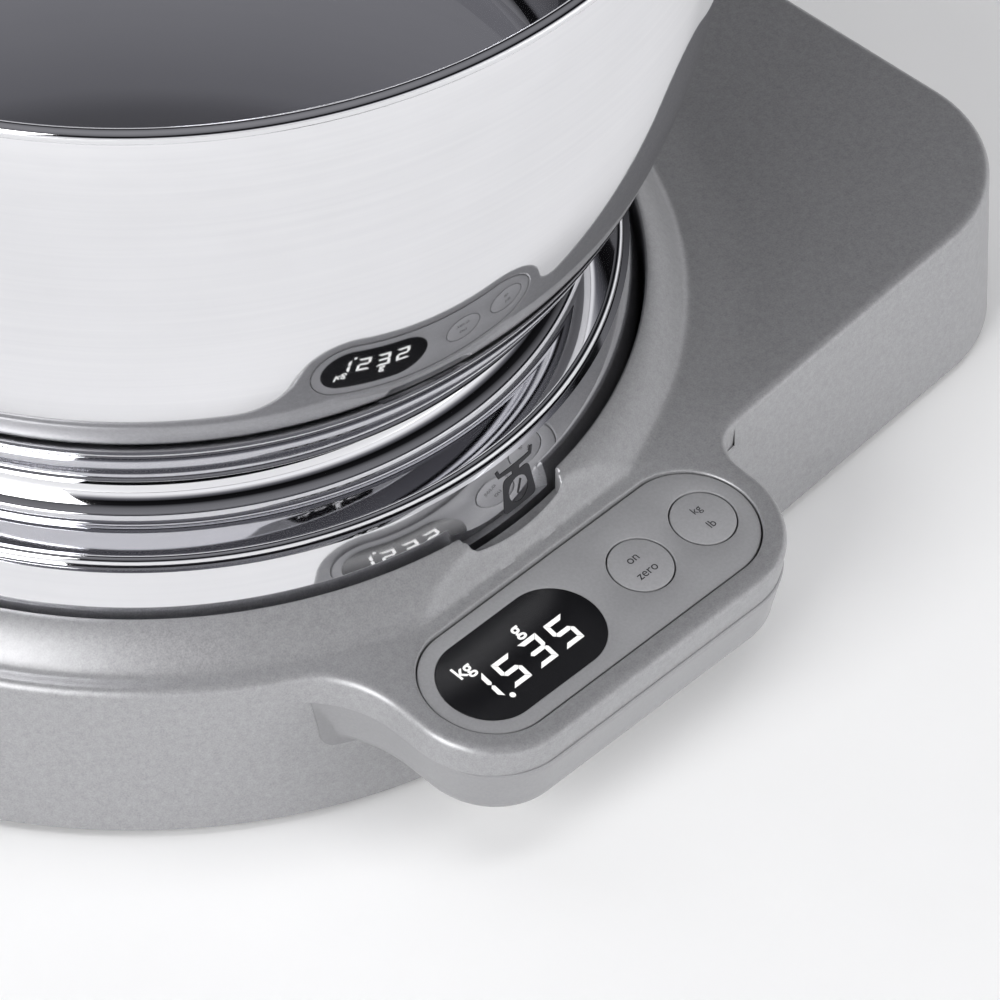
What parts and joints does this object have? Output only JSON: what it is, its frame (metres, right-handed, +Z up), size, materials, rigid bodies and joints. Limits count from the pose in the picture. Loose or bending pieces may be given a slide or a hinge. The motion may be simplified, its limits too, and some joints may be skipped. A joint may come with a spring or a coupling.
{
  "type": "kitchen scale",
  "caption": "Kitchen machine base with a built-in weighing scale: round painted base, tilted control pod with display and buttons, and a polished lift-off mixing bowl.",
  "frame": {"origin": "on the bowl's axis, at the surface that the rubber feet stand on", "axes": "+Z up along the bowl's axis; +X towards the rear end of the base; -Y towards the user, where the control pod is"},
  "size_m": [0.2929, 0.2776, 0.205],
  "materials": {
    "shell_paint": "ABS with a silver-grey metallic paint, fine sparkle, satin",
    "pan_plastic": "grey moulded ABS, matte",
    "housing_plastic": "light grey moulded ABS, smooth satin",
    "insert_plastic": "mid-grey moulded ABS, smooth satin",
    "lens_acrylic": "black glossy acrylic window",
    "module_glass": "dark display module",
    "button_plastic": "mid-grey moulded ABS, smooth satin",
    "switch_plastic": "black moulded plastic",
    "board_laminate": "green glass-epoxy circuit board",
    "screw_steel": "zinc-plated steel",
    "beam_aluminium": "milled aluminium",
    "spacer_aluminium": "plain aluminium",
    "platform_aluminium": "die-cast aluminium with a dark coating",
    "pad_rubber": "black soft rubber",
    "cable_grey": "light grey PVC jacket",
    "cable_red": "red PVC insulation",
    "tray_plastic": "dark grey moulded ABS",
    "cell_jacket": "printed jacket of a dry cell",
    "contact_nickel": "nickel-plated spring steel",
    "foot_rubber": "black rubber",
    "bowl_steel": "mirror-polished stainless steel sheet"
  },
  "bodies": {
    "base": {"top_shell": "shell_paint", "base_pan": "pan_plastic", "pod_housing": "housing_plastic", "control_insert": "insert_plastic", "display_lens": "lens_acrylic", "display_module": "module_glass", "tact_switches": "switch_plastic", "control_board": "board_laminate", "board_screws": "screw_steel", "buzzer": "switch_plastic", "load_cell": "beam_aluminium", "cell_spacer": "spacer_aluminium", "cell_bolts": "screw_steel", "overload_stop": "screw_steel", "load_cell_cable": "cable_grey", "battery_lead": "cable_red", "battery_tray": "tray_plastic", "battery_cells": "cell_jacket", "battery_contacts": "contact_nickel", "rubber_feet": "foot_rubber", "case_screws": "screw_steel", "pod_screws": "screw_steel"},
    "scale_platform": {"platform": "platform_aluminium", "platform_spacer": "spacer_aluminium", "platform_bolts": "screw_steel", "seat_pads": "pad_rubber"},
    "bowl": {"bowl_foot": "bowl_steel", "bowl_body": "bowl_steel"},
    "zero_key": {"zero_button": "button_plastic"},
    "unit_key": {"unit_button": "button_plastic"},
    "door": {"battery_door": "shell_paint"}
  },
  "joints": [
    {"name": "platform_load", "type": "slide", "parent": "base", "child": "scale_platform", "axis": [0, 0, -1], "range_m": [0, 0.0004], "stiffness_N_per_m": 125000, "springref_m": -0.00016, "deforming": ["load_cell"]},
    {"name": "bowl_lift", "type": "slide", "parent": "scale_platform", "child": "bowl", "axis": [0, 0, 1], "range_m": [0, 0.15]},
    {"name": "zero_press", "type": "slide", "parent": "base", "child": "zero_key", "axis": [0, 0.1513, -0.9885], "range_m": [0, 0.0008], "stiffness_N_per_m": 1800},
    {"name": "unit_press", "type": "slide", "parent": "base", "child": "unit_key", "axis": [0, 0.1513, -0.9885], "range_m": [0, 0.0008], "stiffness_N_per_m": 1800},
    {"name": "door_hinge", "type": "hinge", "parent": "base", "child": "door", "pos_m": [0.1639, 0, 0.0084], "axis": [0, 1, 0], "range_deg": [0, 100]}
  ]
}
